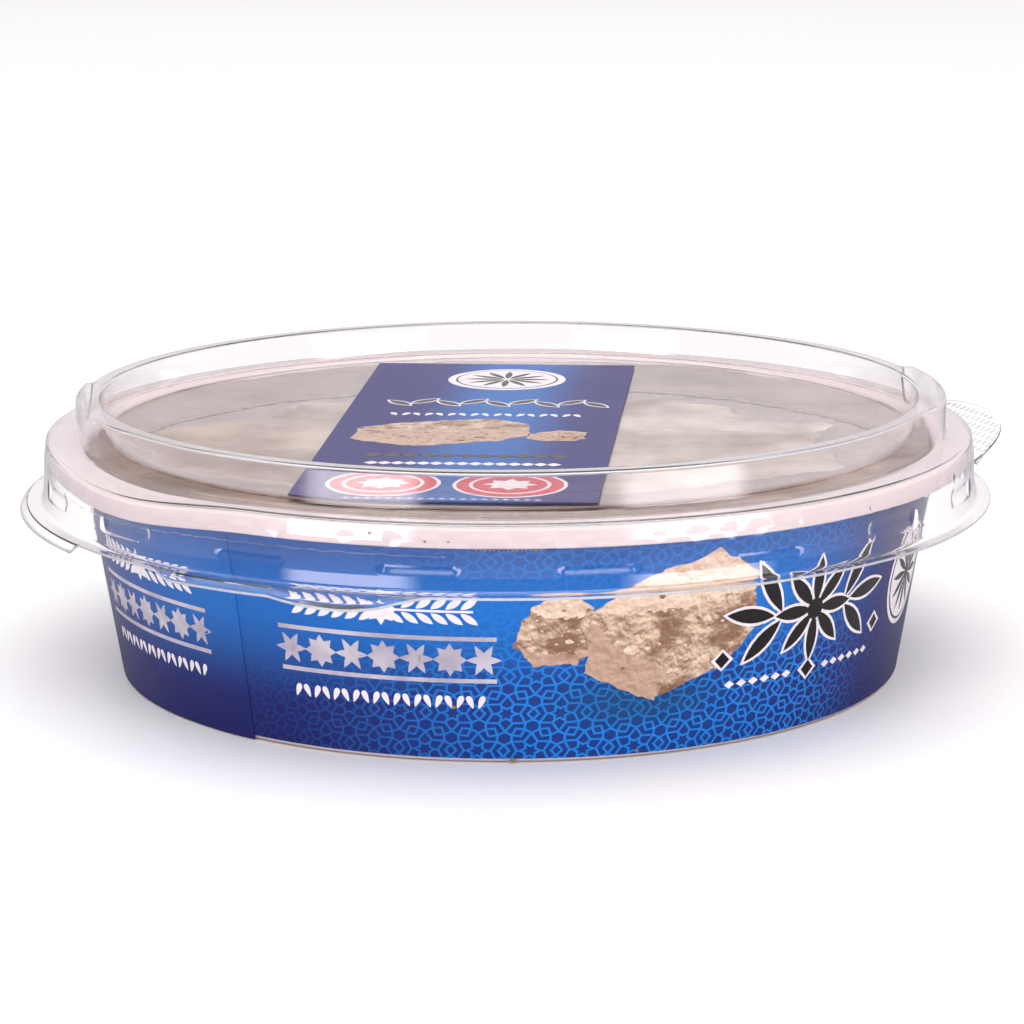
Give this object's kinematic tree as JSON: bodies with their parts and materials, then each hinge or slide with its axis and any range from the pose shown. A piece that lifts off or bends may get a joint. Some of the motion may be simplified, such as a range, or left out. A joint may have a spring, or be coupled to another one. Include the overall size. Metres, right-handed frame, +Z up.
{
  "type": "tub of halva with clear snap lid",
  "caption": "Round white plastic tub full of pressed sesame halva, shut with a clear snap lid, with a blue ornamental wrap label and a matching lid label",
  "frame": {"origin": "centre of the tub's flat base, on the tub's axis", "axes": "+Z up along the tub's axis, -Y towards the front of the wrap label, +X to the right seen from the front"},
  "size_m": [0.1468, 0.1408, 0.0402],
  "materials": {
    "white_plastic": "satin",
    "halva": "matte",
    "clear_plastic": "gloss",
    "printed_film": "gloss",
    "printed_paper": "semi-gloss"
  },
  "bodies": {
    "root": {"tub": "white_plastic", "halva": "halva", "lid": "clear_plastic", "wrap_label": "printed_film", "lid_label": "printed_paper"}
  },
  "joints": []
}
